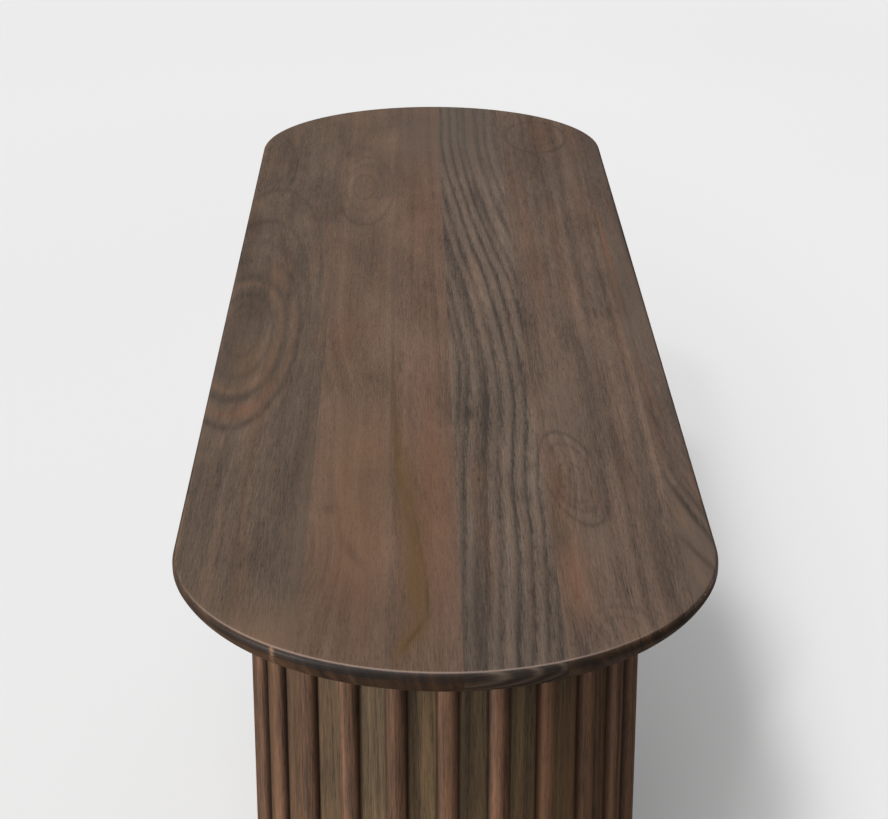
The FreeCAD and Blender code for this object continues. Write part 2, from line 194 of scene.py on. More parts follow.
# Other finishes: ranges of shade and roughness, and lines in the noises.
PLY_CONTRAST = 0.7
PLY_LINES = 9.0
PLY_FUZZ_SHADE = 0.2
PLY_FACE = (0.35, 0.65, 0.0, 0.25)
PLY_ROUGHNESS = (0.55, 0.75)
TURNING_LINES = 6000.0
METAL_SHADES = (0.82, 1.05)
ZINC_ROUGHNESS = (0.29, 0.45)
BRASS_ROUGHNESS = (0.24, 0.4)
NYLON_SHADES = (0.85, 1.2)
NYLON_ROUGHNESS = (0.45, 0.65)
FLOOR_SHADES = (0.99, 1.01)
FLOOR_ROUGHNESS = 0.9

# Marks of a board, in metres along and across it. An eye is a hump in the rings, a rise shifts them sideways
# and a stripe darkens one level of them. A patch is a soft spot of colour, an oval a line round an ellipse,
# and a sliver a patch on the rim. Sawn is the rings' contrast on the rim; lip and bevel scale its tints, and
# their numbers hold painted light and shade, larger on the boards towards the shaded back side.
Eye = namedtuple("Eye", "along across length width lift")
Rise = namedtuple("Rise", "start stop height")
Stripe = namedtuple("Stripe", "level width strength")
Patch = namedtuple("Patch", "along across length width colour strength slope", defaults=(0.0,))
Oval = namedtuple("Oval", "along across length width line colour strength lean slope", defaults=(0.0, 0.0))
Figure = namedtuple(
    "Figure",
    "colour vigour band contrast sawn tilt lip bevel eyes rises stripes patches ovals slivers",
    defaults=((),) * 6,
)
Grain = namedtuple("Grain", "fibre streak cloud cast pores")


def tone(red, green, blue):
    """Linear colour of an 8-bit display colour, by the display's own curve."""
    shown = np.array([red, green, blue]) / 255
    linear = np.where(shown <= 0.04045, shown / 12.92, ((shown + 0.055) / 1.055) ** 2.4)
    return tuple(float(value) for value in linear)


def colour(name, description, default):
    """Colour setting."""
    return FloatVectorProperty(
        name=name, description=description, default=default, subtype="COLOR", min=0.0, max=1.0
    )


def length(name, description, default):
    """Length setting, with its default in metres."""
    return FloatProperty(name=name, description=description, default=default, unit="LENGTH", min=0.0)


def angle(name, description, default):
    """Angle setting, with its default in radians."""
    return FloatProperty(name=name, description=description, default=default, subtype="ANGLE")


def level(name, description, default):
    """Plain number setting."""
    return FloatProperty(name=name, description=description, default=default, min=0.0)


class TableSizes(bpy.types.PropertyGroup):
    """Sizes of the visible edges and ribs."""

    lip_height: length("Lip height", "Upright face of the top's rim", 0.0058)
    bevel_inset: length("Bevel inset", "How far the bevel under the rim runs in", 0.015)
    bevel_crown: length("Bevel crown", "How far the bevel's middle stands proud of a straight line", 0.0019)
    arris_round: length("Arris round", "Radius of the rim's upper edge", 0.0032)
    bevel_round: length("Bevel round", "Radius where the lip meets the bevel", 0.0018)
    under_round: length("Under round", "Radius where the bevel meets the underside", 0.0012)
    flat_margin: length("Flat margin", "Flat border that keeps the faces of the boards level", 0.004)
    rib_width: length("Rib width", "Width of one half-round rib", 0.014)
    rib_ease: length("Rib ease", "Radius at both ends of a rib", 0.0012)
    rib_count: IntProperty(name="Rib count", description="Ribs round one drum", default=24, min=3)


class TimberColours(bpy.types.PropertyGroup):
    """Colours of the timbers and fittings."""

    board_1: colour("Board 1", "Middle tone of the first board, at the front", tone(102, 85, 72))
    board_2: colour("Board 2", "Middle tone of the second board", tone(113, 92, 77))
    board_3: colour("Board 3", "Middle tone of the third board", tone(110, 88, 74))
    board_4: colour("Board 4", "Middle tone of the striped board", tone(115, 98, 85))
    board_5: colour("Board 5", "Middle tone of the fifth board", tone(106, 87, 74))
    board_6: colour("Board 6", "Middle tone of the last board, at the back", tone(98, 82, 71))
    smoke: colour("Smoke", "Dark blotches and lines", tone(52, 45, 41))
    ash: colour("Ash", "Cool grey cast", tone(99, 88, 79))
    # Painted highlight on the upper edge at the round ends.
    worn_edge: colour("Worn edge", "Rubbed upper edge of the top", tone(164, 140, 128))
    copper: colour("Copper", "Warm patches and streaks", tone(136, 94, 68))
    olive: colour("Olive", "Dark yellow-brown mineral lines", tone(88, 66, 42))
    amber: colour("Amber", "Yellow-brown mineral streaks", tone(110, 82, 48))
    honey: colour("Honey", "Light warm patches", tone(146, 110, 82))
    end_grain: colour("End grain", "Tint of sawn ends, which drink more finish", (0.16, 0.122, 0.088))
    # The bevel's tint is partly its aslant grain and partly painted light bounced up from the floor.
    bevel_grain: colour("Bevel grain", "Tint of the bevel, cut aslant through the grain", (0.55, 0.44, 0.32))
    side_grain: colour("Side grain", "Tint of edges that run with the grain", (0.58, 0.51, 0.46))
    # Painted shade in the corners beside the ribs.
    corner: colour("Corner", "Tint of the corners beside the ribs, where finish gathers", (0.3, 0.27, 0.24))
    heartwood: colour("Heartwood", "Tint of the redder staves", (1.0, 0.88, 0.98))
    rib: colour("Rib", "Middle tone of the ribs", tone(112, 80, 58))
    stave: colour("Stave", "Middle tone of the staves", tone(100, 80, 55))
    birch: colour("Birch", "Pale plies of the plates and rings", tone(206, 178, 138))
    birch_dark: colour("Birch dark", "Cross plies of the plates and rings", tone(158, 124, 86))
    zinc: colour("Zinc", "Plated bolts, washers and screws", tone(196, 198, 200))
    brass: colour("Brass", "Threaded inserts", tone(204, 168, 96))
    nylon: colour("Nylon", "Glides under the drums", tone(46, 45, 44))


class StudioSettings(bpy.types.PropertyGroup):
    """Light, floor and camera."""

    floor: colour("Floor", "Pale studio floor", (0.84, 0.84, 0.84))
    backdrop: level("Backdrop", "Brightness of the backdrop behind the floor", 0.83)
    sky_zenith: level("Sky overhead", "Even light from overhead", 0.375)
    sky_horizon: level("Sky at the horizon", "Even light from the horizon", 0.044)
    sky_ground: level("Sky from below", "Even light from below", 0.1)
    camera_pitch: angle("Camera pitch", "How far the camera looks down", math.radians(21.413))
    camera_yaw: angle("Camera yaw", "Turn from the table's length", math.radians(0.795))
    camera_lens: level("Camera lens", "Focal length in millimetres", 93.39)
    camera_place: FloatVectorProperty(
        name="Camera place",
        description="Where the camera stands",
        default=(1.9248, -0.0204, 1.4302),
        unit="LENGTH",
    )


def sun_settings():
    """Strength and spread of every sun, as settings."""
    settings = {}
    for sun in SUNS:
        label = f"{sun.name.capitalize()} light"
        settings[f"{sun.name}_strength"] = level(label, sun.purpose, sun.strength)
        settings[f"{sun.name}_spread"] = angle(f"{label} spread", "Its apparent size", sun.spread)
    return settings


StudioSettings.__annotations__.update(sun_settings())


class NodeSet:
    """A node tree being made: each method adds nodes and gives back the output."""

    def __init__(self, tree):
        self.tree = tree

    def feed(self, socket, value):
        """Link an output to a socket, or set a plain value on it."""
        if isinstance(value, bpy.types.NodeSocket):
            self.tree.links.new(value, socket)
        else:
            socket.default_value = value

    def add(self, kind, inputs, output=0, **settings):
        """One node with its settings and inputs."""
        node = self.tree.nodes.new(kind)
        for name, value in settings.items():
            setattr(node, name, value)
        for key, value in inputs.items():
            self.feed(node.inputs[key], value)
        return node.outputs[output]

    def parts(self, vector):
        """The three parts of a vector."""
        node = self.tree.nodes.new("ShaderNodeSeparateXYZ")
        self.feed(node.inputs[0], vector)
        return tuple(node.outputs)

    def join(self, x, y, z):
        """A vector from three values."""
        return self.add("ShaderNodeCombineXYZ", {0: x, 1: y, 2: z})

    def math(self, operation, first, second=0.0):
        """One sum of two values."""
        return self.add("ShaderNodeMath", {0: first, 1: second}, operation=operation)

    def total(self, *values):
        """All the values added up."""
        result = values[0]
        for value in values[1:]:
            result = self.math("ADD", result, value)
        return result

    def less(self, first, second):
        """The first value less the second."""
        return self.math("SUBTRACT", first, second)

    def times(self, first, second):
        """Product of two values."""
        return self.math("MULTIPLY", first, second)

    def unsigned(self, value):
        """The value without its sign."""
        return self.math("ABSOLUTE", value)

    def span(self, value, low, high, to_low=0.0, to_high=1.0, curve="LINEAR"):
        """The value carried from one range to another and held within it."""
        inputs = {"Value": value, "From Min": low, "From Max": high, "To Min": to_low, "To Max": to_high}
        return self.add("ShaderNodeMapRange", inputs, interpolation_type=curve)

    def spread(self, noise, to_low, to_high):
        """Noise carried from its usual range to another."""
        return self.span(noise, *NOISE_RANGE, to_low, to_high)

    def shift(self, noise, amount, reach=0.25):
        """Noise as a shift of up to the amount either way, which is full at the reach from its middle."""
        return self.span(noise, 0.5 - reach, 0.5 + reach, -amount, amount)

    def noise(self, vector, noise):
        """Smooth noise in space."""
        stretched = self.add("ShaderNodeMapping", {"Vector": vector, "Scale": noise.scale})
        inputs = {"Vector": stretched, "Scale": 1.0, "Detail": noise.detail, "Roughness": noise.roughness}
        return self.add("ShaderNodeTexNoise", inputs)

    def line_noise(self, value, detail, roughness=0.5):
        """Smooth noise along one value."""
        inputs = {"W": value, "Scale": 1.0, "Detail": detail, "Roughness": roughness}
        return self.add("ShaderNodeTexNoise", inputs, noise_dimensions="1D")

    def chance(self, value):
        """A random share that holds for one whole number."""
        return self.add("ShaderNodeTexWhiteNoise", {"W": value}, noise_dimensions="1D")

    def mix(self, share, first, second, blend="MIX"):
        """Two colours mixed by a share."""
        inputs = {0: share, 6: first, 7: second}
        return self.add("ShaderNodeMix", inputs, output=2, data_type="RGBA", blend_type=blend)

    def bell(self, *shares):
        """Bell-shaped hump of height one: e to the minus of the sum of the squared shares."""
        fall = self.total(*(self.times(share, share) for share in shares))
        return self.math("POWER", math.e, self.times(fall, -1.0))

    def share(self, value, middle, reach):
        """How far a value is from a middle, as a share of a reach."""
        return self.times(self.less(value, middle), 1 / reach)


class Finish(NodeSet):
    """A material being made, with the place on the object ready in its three parts."""

    def __init__(self, name, specular=0.5):
        self.material = bpy.data.materials.new(name)
        self.material.use_nodes = True
        super().__init__(self.material.node_tree)
        self.shader = self.tree.nodes["Principled BSDF"]
        self.shader.inputs["Specular IOR Level"].default_value = specular
        self.place = self.add("ShaderNodeTexCoord", {}, output="Object")
        self.x, self.y, self.z = self.parts(self.place)

    def facing(self):
        """The way the surface faces, in three parts: the last is one looking up, minus one looking down."""
        return self.parts(self.add("ShaderNodeNewGeometry", {}, output="Normal"))

    def shaded(self, base_colour, shade):
        """A colour setting times a shade."""
        return self.mix(1.0, opaque(base_colour), self.join(shade, shade, shade), "MULTIPLY")

    def finish(self, base, roughness, height, strength, depth):
        """Colour, roughness and fine relief joined to the shader."""
        self.feed(self.shader.inputs["Base Color"], base)
        self.feed(self.shader.inputs["Roughness"], roughness)
        inputs = {"Strength": strength, "Distance": depth, "Height": height}
        self.feed(self.shader.inputs["Normal"], self.add("ShaderNodeBump", inputs))
        return self.material


def opaque(value):
    """A colour with full cover."""
    return (*value, 1.0)


def timber_grain(finish, flow):
    """Fibres, streaks, clouds, casts and pores, each as noise drawn out along the first part of the flow.

    Fibres are hair-fine, streaks a few millimetres wide and clouds broad. Casts are changes of colour.
    Pores are short flecks, where a fine noise passes a limit.
    """
    return Grain(
        fibre=finish.noise(flow, FIBRES),
        streak=finish.noise(flow, STREAKS),
        cloud=finish.noise(flow, CLOUDS),
        cast=finish.noise(flow, CASTS),
        pores=finish.span(finish.noise(flow, FLECKS), *PORE_LIMITS),
    )


def timber_base(finish, grain, shade, middle, vigour, colours):
    """Colour of a timber.

    Its lightness is the shade, with fibres, streaks and clouds added and pores taken away. It runs from a
    third of the middle tone to twice that tone. The casts then pull it towards copper or ash. The vigour
    scales the fibres, streaks and casts.
    """
    lightness = finish.total(
        shade,
        finish.shift(grain.fibre, FIBRE_SHIFT * vigour),
        finish.shift(grain.streak, STREAK_SHIFT * vigour),
        finish.shift(grain.cloud, CLOUD_SHIFT),
        finish.times(grain.pores, PORE_SHIFT),
    )
    dark = opaque(np.multiply(middle, DARK_TONE))
    light = opaque(np.multiply(middle, LIGHT_TONE))
    base = finish.mix(lightness, dark, light)
    for limits, tint in ((COPPER_LIMITS, colours.copper), (ASH_LIMITS, colours.ash)):
        base = finish.mix(finish.span(grain.cast, *limits, 0.0, CAST_COVER * vigour), base, opaque(tint))
    return base


def timber_surface(finish, base, grain):
    """Roughness and relief of a satin timber: fibres stand proud, and pores are open and dull."""
    roughness = finish.total(finish.spread(grain.fibre, *SATIN), finish.times(grain.pores, PORE_DULLNESS))
    height = finish.less(finish.times(grain.fibre, FIBRE_RELIEF), grain.pores)
    return finish.finish(base, roughness, height, strength=0.3, depth=0.0003)


def grain_field(finish, figure):
    """Ring coordinate of a board: place across the grain, tilted through its depth, bent by eyes and rises.

    An eye adds a bell-shaped hump, whose level lines close into ovals. A rise shifts the lines sideways
    over a stretch of the board. Slow noise lets them wander. The bend and the humps come back with it.
    """
    bends = [finish.shift(finish.noise(finish.place, BOARD_WANDER), BOARD_DRIFT, reach=0.5)]
    humps = []
    for eye in figure.eyes:
        ahead = finish.share(finish.x, eye.along, eye.length)
        aside = finish.share(finish.y, eye.across, eye.width)
        humps.append(finish.bell(ahead, aside))
        bends.append(finish.times(humps[-1], eye.lift))
    for rise in figure.rises:
        bends.append(finish.span(finish.x, rise.start, rise.stop, 0.0, -rise.height, "SMOOTHSTEP"))
    bend = finish.total(*bends)
    tilt = math.tan(math.radians(figure.tilt))
    return finish.total(finish.y, finish.times(finish.z, tilt), bend, -RIM_HIGH.z * tilt), bend, humps


def patch_cover(finish, patch, fray):
    """Cover of a patch: a bell along and across the grain, whose middle line is slanted and frayed."""
    drift = finish.times(finish.less(finish.x, patch.along), -patch.slope)
    ahead = finish.share(finish.x, patch.along, patch.length)
    aside = finish.share(finish.total(finish.y, fray, drift), patch.across, patch.width)
    return finish.times(finish.bell(ahead, aside), patch.strength)


def oval_cover(finish, oval, fray):
    """Cover of a ring line: a bell about a slanted ellipse, stronger towards one end by its lean."""
    ahead = finish.share(finish.x, oval.along, oval.length)
    drift = finish.times(ahead, -oval.slope * oval.length)
    aside = finish.share(finish.total(finish.y, fray, drift), oval.across, oval.width)
    reach = finish.math("SQRT", finish.total(finish.times(ahead, ahead), finish.times(aside, aside)))
    line = finish.bell(finish.share(reach, 1.0, oval.line))
    weak, strong = oval.strength * (1 - oval.lean), oval.strength * (1 + oval.lean)
    return finish.times(line, finish.span(ahead, -1.0, 1.0, weak, strong))


def cover_marks(finish, base, marks, cover, fray, gate, colours):
    """The base with marks laid over it in turn, each in its own colour by its cover times the gate."""
    for mark in marks:
        share = finish.times(cover(finish, mark, fray), gate)
        base = finish.mix(share, base, opaque(getattr(colours, mark.colour)))
    return base


def rim_tint(finish, figure, colours, endwise, climb):
    """Tint of the rim: dark end grain on the lip, a lighter bevel below with painted bounce light from the
    floor, and side grain along the table.
    """
    # The board's lip and bevel scales include painted light and shade for its side of the top.
    lip = opaque(figure.lip * np.array(colours.end_grain))
    bevel = opaque(figure.bevel * np.array(colours.bevel_grain))
    # The downward-facing bevel takes the lighter tint, which is partly painted bounce light.
    sawn = finish.mix(finish.span(climb, *BEVEL_FACING), lip, bevel)
    ends = finish.span(finish.unsigned(endwise), *END_FACING)
    return finish.mix(ends, opaque(colours.side_grain), sawn)


def highlight_cover(finish, climb):
    """Cover of the painted highlight on the arris: where the surface turns over, at the round ends, less
    towards the back.
    """
    beyond = finish.share(finish.unsigned(finish.x), TOP_AXIS, TOP_HALF_WIDTH)
    crest = finish.times(finish.span(climb, *CREST_START), finish.span(climb, *CREST_STOP))
    ends = finish.times(crest, finish.span(beyond, *HIGHLIGHT_ALONG))
    return finish.times(ends, finish.span(finish.y, *HIGHLIGHT_ACROSS))


def board_timber(name, figure, colours):
    """Timber of one board: rings and stripes from its field, then patches and ovals, then the rim.

    Rings show most round the eyes and on the rim. Fibres fray the lines of all the marks. Clouds fade the
    stripes and patches, and streaks break the ovals. The rim is tinted as sawn grain and with painted light
    and shade, with slivers of colour on it, and its upper edge carries a painted highlight.
    """
    finish = Finish(name, TIMBER_SPECULAR)
    rings, bend, humps = grain_field(finish, figure)
    across = finish.total(finish.y, finish.times(bend, FIBRE_BEND))
    grain = timber_grain(finish, finish.join(finish.x, across, finish.z))
    fray = finish.shift(grain.fibre, FRAY, reach=0.3)
    fade = finish.spread(grain.cloud, *FADE)
    endwise, _, climb = finish.facing()
    rim = finish.span(finish.unsigned(climb), *RIM_FACING)
    frayed = finish.total(rings, fray)
    bands = finish.line_noise(finish.times(frayed, 1 / figure.band), detail=3.0, roughness=0.6)
    gain = figure.contrast
    if humps:
        gain = finish.span(finish.total(*humps), 0.0, EYE_FULL, gain, EYE_GAIN * gain)
    gain = finish.total(gain, finish.times(rim, figure.sawn))
    shades = [MIDDLE_SHADE, finish.times(finish.spread(bands, -1.0, 1.0), gain)]
    for stripe in figure.stripes:
        line = finish.bell(finish.share(frayed, stripe.level, stripe.width))
        shades.append(finish.times(finish.times(line, fade), -stripe.strength))
    middle = getattr(colours, figure.colour)
    base = timber_base(finish, grain, finish.total(*shades), middle, figure.vigour, colours)
    base = cover_marks(finish, base, figure.patches, patch_cover, fray, fade, colours)
    broken = finish.span(grain.streak, *BROKEN_LINES)
    base = cover_marks(finish, base, figure.ovals, oval_cover, fray, broken, colours)
    base = finish.mix(rim, base, rim_tint(finish, figure, colours, endwise, climb), "MULTIPLY")
    base = cover_marks(finish, base, figure.slivers, patch_cover, fray, rim, colours)
    # Painted highlight along the upper arris at the round ends.
    base = finish.mix(highlight_cover(finish, climb), base, opaque(colours.worn_edge))
    return timber_surface(finish, base, grain)


def drum_place(finish, count, shift):
    """Place round a drum: the slat's number, in a run for each drum, and the share across the slat."""
    beside = finish.less(finish.unsigned(finish.x), DRUM_AXIS)
    turn = finish.math("ARCTAN2", finish.y, beside)
    slats = finish.total(finish.times(turn, count / math.tau), shift + count)
    number = finish.math("FLOOR", slats)
    drum = finish.times(finish.math("GREATER_THAN", finish.x, 0.0), 2.0 * count)
    return finish.total(number, drum), finish.less(slats, number)


def slat_timber(name, middle, count, shift, edge, colours, heartwood=None):
    """Timber of the slats: each has its own shade and its own cut from the log, with the grain upright.

    Towards its edge, given as a share from the middle, a slat darkens with painted shade, as in the corner
    beside a rib. A second draw picks the slats that are tinted as heartwood.
    """
    finish = Finish(name, TIMBER_SPECULAR)
    number, share = drum_place(finish, count, shift)
    luck = finish.chance(number)
    offset = finish.times(luck, SLAT_CUT)
    wander = finish.noise(finish.join(offset, share, finish.z), SLAT_WANDER)
    rings = finish.total(finish.times(share, SLAT_RINGS), finish.times(wander, SLAT_RING_WANDER), offset)
    bands = finish.spread(finish.line_noise(rings, detail=3.0), -SLAT_BANDS, SLAT_BANDS)
    grain = timber_grain(finish, finish.join(finish.total(finish.z, offset), finish.x, finish.y))
    shade = finish.total(MIDDLE_SHADE, bands, finish.shift(luck, SLAT_LUCK, reach=0.5))
    base = timber_base(finish, grain, shade, middle, SLAT_VIGOUR, colours)
    if heartwood:
        draw = finish.chance(finish.total(number, HEARTWOOD_DRAW))
        base = finish.mix(finish.span(draw, *HEARTWOOD_LIMITS), base, opaque(heartwood), "MULTIPLY")
    # Painted shade: each slat darkens towards its edges, in the corners beside the ribs.
    aside = finish.unsigned(finish.less(share, 0.5))
    base = finish.mix(finish.span(aside, edge - CORNER_SHADE_FADE, edge), base, opaque(colours.corner), "MULTIPLY")
    ends = finish.span(finish.unsigned(finish.facing()[2]), *SLAT_END_FACING)
    base = finish.mix(ends, base, opaque(colours.end_grain), "MULTIPLY")
    return timber_surface(finish, base, grain)


def ply_finish(name, low, high, colours):
    """Layered board: plies alternate with height on its edges, and its faces show a rotary-cut grain."""
    finish = Finish(name)
    layer = finish.span(finish.z, low, high, 0.0, PLIES)
    odd = finish.math("GREATER_THAN", finish.math("PINGPONG", layer, 1.0), 0.5)
    fuzz = finish.noise(finish.place, PLY_FUZZ)
    swirl = finish.noise(finish.place, PLY_SWIRL)
    face = finish.line_noise(finish.times(swirl, PLY_LINES), detail=1.0)
    edge = finish.less(1.0, finish.unsigned(finish.facing()[2]))
    dark = finish.total(
        finish.times(odd, finish.times(edge, PLY_CONTRAST)),
        finish.spread(fuzz, 0.0, PLY_FUZZ_SHADE),
        finish.span(face, *PLY_FACE),
    )
    base = finish.mix(dark, opaque(colours.birch), opaque(colours.birch_dark))
    return finish.finish(base, finish.spread(fuzz, *PLY_ROUGHNESS), fuzz, strength=0.2, depth=0.0003)


def metal_finish(name, base_colour, roughness):
    """Plated metal: small crystals shift its shade, and fine turning lines run round it with height."""
    finish = Finish(name)
    finish.shader.inputs["Metallic"].default_value = 1.0
    crystal = finish.noise(finish.place, CRYSTALS)
    turned = finish.line_noise(finish.times(finish.z, TURNING_LINES), detail=1.0)
    base = finish.shaded(base_colour, finish.spread(crystal, *METAL_SHADES))
    return finish.finish(base, finish.spread(crystal, *roughness), turned, strength=0.15, depth=0.0001)


def nylon_finish(name, base_colour):
    """Moulded glide: an even dark plastic with a fine spark-eroded texture."""
    finish = Finish(name)
    grain = finish.noise(finish.place, SPARK_GRAIN)
    scuff = finish.noise(finish.place, SCUFFS)
    base = finish.shaded(base_colour, finish.spread(scuff, *NYLON_SHADES))
    return finish.finish(base, finish.spread(scuff, *NYLON_ROUGHNESS), grain, strength=0.2, depth=0.0001)


def floor_finish(name, base_colour):
    """Pale matt floor with a slight change of shade."""
    finish = Finish(name, specular=0.0)
    cloud = finish.noise(finish.place, FLOOR_CLOUDS)
    base = finish.shaded(base_colour, finish.spread(cloud, *FLOOR_SHADES))
    finish.feed(finish.shader.inputs["Base Color"], base)
    finish.feed(finish.shader.inputs["Roughness"], FLOOR_ROUGHNESS)
    return finish.material


def unit(vector):
    """The vector at length one."""
    return vector / np.linalg.norm(vector)


def corner_arc(before, corner, after, radius, steps):
    """Arc tangent to both sides of a corner: centred on the bisector and swept in even steps."""
    back, onward = unit(before - corner), unit(after - corner)
    half = math.acos(np.dot(back, onward)) / 2
    inward, sideways = unit(back + onward), unit(onward - back)
    sweep = np.linspace(half - math.pi / 2, math.pi / 2 - half, steps)[:, None]
    return corner + radius * (inward / math.sin(half) - inward * np.cos(sweep) + sideways * np.sin(sweep))


def crowned_line(start, stop, crown, steps):
    """Line that bulges to its left by four times the crown, times the shares of the way gone and to go."""
    way = np.linspace(0.0, 1.0, steps)[:, None]
    onward = stop - start
    outward = unit(np.array([-onward[1], onward[0]]))
    return start + way * onward + 4 * crown * way * (1 - way) * outward


def rim_profile(sizes, under, top):
    """Inset and height of the rim's section, from the underside up the crowned bevel and lip to the top."""
    inner = np.array([sizes.bevel_inset + sizes.under_round + sizes.flat_margin, under])
    foot = np.array([sizes.bevel_inset, under])
    lip = np.array([0.0, top - sizes.lip_height])
    arris = np.array([0.0, top])
    upper = np.array([sizes.arris_round + sizes.flat_margin, top])
    bevel = crowned_line(foot, lip, sizes.bevel_crown, steps=12)
    return np.vstack([
        inner,
        corner_arc(inner, foot, bevel[1], sizes.under_round, steps=3),
        bevel[1:-1],
        corner_arc(bevel[-2], lip, arris, sizes.bevel_round, steps=4),
        corner_arc(lip, arris, upper, sizes.arris_round, steps=10),
        upper,
    ])


def board_rings(profile, near, far, points=40):
    """Level rings of one board.

    At each level the outline's end arc has the top's end radius less the inset. The seams cut the arc at
    two angles, and even steps between them give the right end. The left end is its mirror image.
    """
    inset, height = profile.T
    radius = TOP_HALF_WIDTH - inset
    start = np.arcsin(np.clip(near / radius, -1.0, 1.0))
    stop = np.arcsin(np.clip(far / radius, -1.0, 1.0))
    turn = start[:, None] + (stop - start)[:, None] * np.linspace(0.0, 1.0, points)
    x = TOP_AXIS + radius[:, None] * np.cos(turn)
    y = radius[:, None] * np.sin(turn)
    x = np.hstack([x, -x[:, ::-1]])
    y = np.hstack([y, y[:, ::-1]])
    return np.stack([x, y, np.broadcast_to(height[:, None], x.shape)], axis=-1)


def rib_rings(sizes, centre, turn, low, high, points=25, steps=6):
    """Level rings of one rib: a half circle standing on its flat back, carried up the drum.

    Near both ends the half circle shrinks along a quarter round, which eases them.
    """
    ease = sizes.rib_ease
    bend = np.linspace(0.0, math.pi / 2, steps)
    shrink = ease * (1 - np.sin(bend))
    climb = ease * (1 - np.cos(bend))
    radius = sizes.rib_width / 2 - np.concatenate([shrink, shrink[::-1]])
    height = np.concatenate([low + climb, (high - climb)[::-1]])
    sweep = np.linspace(-math.pi / 2, math.pi / 2, points)
    outward = RIB_TIP - sizes.rib_width / 2 + radius[:, None] * np.cos(sweep)
    sideways = radius[:, None] * np.sin(sweep)
    x = centre + outward * math.cos(turn) - sideways * math.sin(turn)
    y = outward * math.sin(turn) + sideways * math.cos(turn)
    return np.stack([x, y, np.broadcast_to(height[:, None], x.shape)], axis=-1)


def dressed_name(node):
    """Name of the piece that takes the place of a node."""
    return f"{node}_dressed"


def lofted_piece(node, solids, material, crease):
    """Piece of closed solids in place of a node, each skinned over rising rings.

    Quads join the points of neighbouring rings, and flat faces close the lowest and the highest ring.
    """
    points, faces, first = [], [], 0
    for rings in solids:
        levels, count, _ = rings.shape
        index = first + np.arange(levels * count).reshape(levels, count)
        onward = np.roll(index, -1, axis=1)
        quads = np.stack([index[:-1], onward[:-1], onward[1:], index[1:]], axis=-1).reshape(-1, 4)
        faces += quads.tolist() + [index[0, ::-1].tolist(), index[-1].tolist()]
        points.append(rings.reshape(-1, 3))
        first += levels * count
    mesh = bpy.data.meshes.new(dressed_name(node))
    mesh.from_pydata(np.vstack(points), [], faces)
    mesh.shade_smooth()
    mesh.set_sharp_from_angle(angle=crease)
    mesh.materials.append(material)
    piece = bpy.data.objects.new(dressed_name(node), mesh)
    bpy.context.scene.collection.objects.link(piece)
    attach(piece, BODY)
    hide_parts(node)


def dress(parts, material):
    """Give these parts of both drums a finish in their own material slots."""
    for name in [f"{side}_{part}" for side in SIDES for part in parts]:
        node = frame["nodes"][name]
        node.data.materials.clear()
        node.data.materials.append(material)


# Lip and bevel numbers are painted light and shade as well as tint: the back boards 5 and 6, whose rim lies
# in shade, get larger ones.
BOARD_1 = Figure(
    colour="board_1", vigour=0.7, band=0.014, contrast=0.06, sawn=0.42, tilt=35.0, lip=0.74, bevel=1.05,
    eyes=[Eye(0.09, -0.165, 0.2, 0.05, -0.012), Eye(-0.43, -0.15, 0.09, 0.014, -0.02)],
    rises=[Rise(-0.35, -0.05, 0.02)],
    patches=[
        Patch(0.66, -0.115, 0.05, 0.045, "board_4", 0.45),
        Patch(0.67, -0.115, 0.05, 0.045, "honey", 0.42),
        Patch(0.02, -0.157, 0.08, 0.018, "smoke", 0.34),
        Patch(0.16, -0.156, 0.05, 0.014, "amber", 0.3),
        Patch(0.25, -0.177, 0.12, 0.004, "board_4", 0.45),
        Patch(0.52, -0.0975, 0.24, 0.008, "board_2", 0.55),
        Patch(0.42, -0.109, 0.12, 0.005, "smoke", 0.2, -0.05),
        Patch(0.268, -0.153, 0.018, 0.01, "copper", 0.35),
        Patch(0.237, -0.156, 0.012, 0.01, "smoke", 0.16),
        Patch(0.09, -0.172, 0.14, 0.014, "smoke", 0.2),
        Patch(-0.23, -0.18, 0.04, 0.018, "smoke", 0.5, 0.1),
        Patch(-0.115, -0.18, 0.05, 0.014, "smoke", 0.45, 0.1),
        Patch(-0.435, -0.149, 0.05, 0.003, "smoke", 0.5),
    ],
    ovals=[
        Oval(0.08, -0.165, 0.065, 0.015, 0.1, "smoke", 0.2),
        Oval(0.09, -0.165, 0.105, 0.025, 0.08, "smoke", 0.24),
        Oval(0.09, -0.165, 0.135, 0.032, 0.05, "honey", 0.26, 0.2),
        Oval(0.09, -0.165, 0.155, 0.037, 0.06, "smoke", 0.27, 0.3),
        Oval(0.09, -0.165, 0.186, 0.043, 0.05, "copper", 0.2, 0.5),
        Oval(0.09, -0.163, 0.213, 0.046, 0.04, "smoke", 0.26, 0.7),
        Oval(0.09, -0.165, 0.26, 0.056, 0.05, "smoke", 0.16, -0.3),
        Oval(0.0, -0.16, 0.24, 0.046, 0.035, "smoke", 0.16, -0.7),
        Oval(-0.08, -0.155, 0.27, 0.05, 0.03, "smoke", 0.16, -0.8),
    ],
    slivers=[Patch(0.66, -0.1086, 0.03, 0.0013, "honey", 0.7)],
)
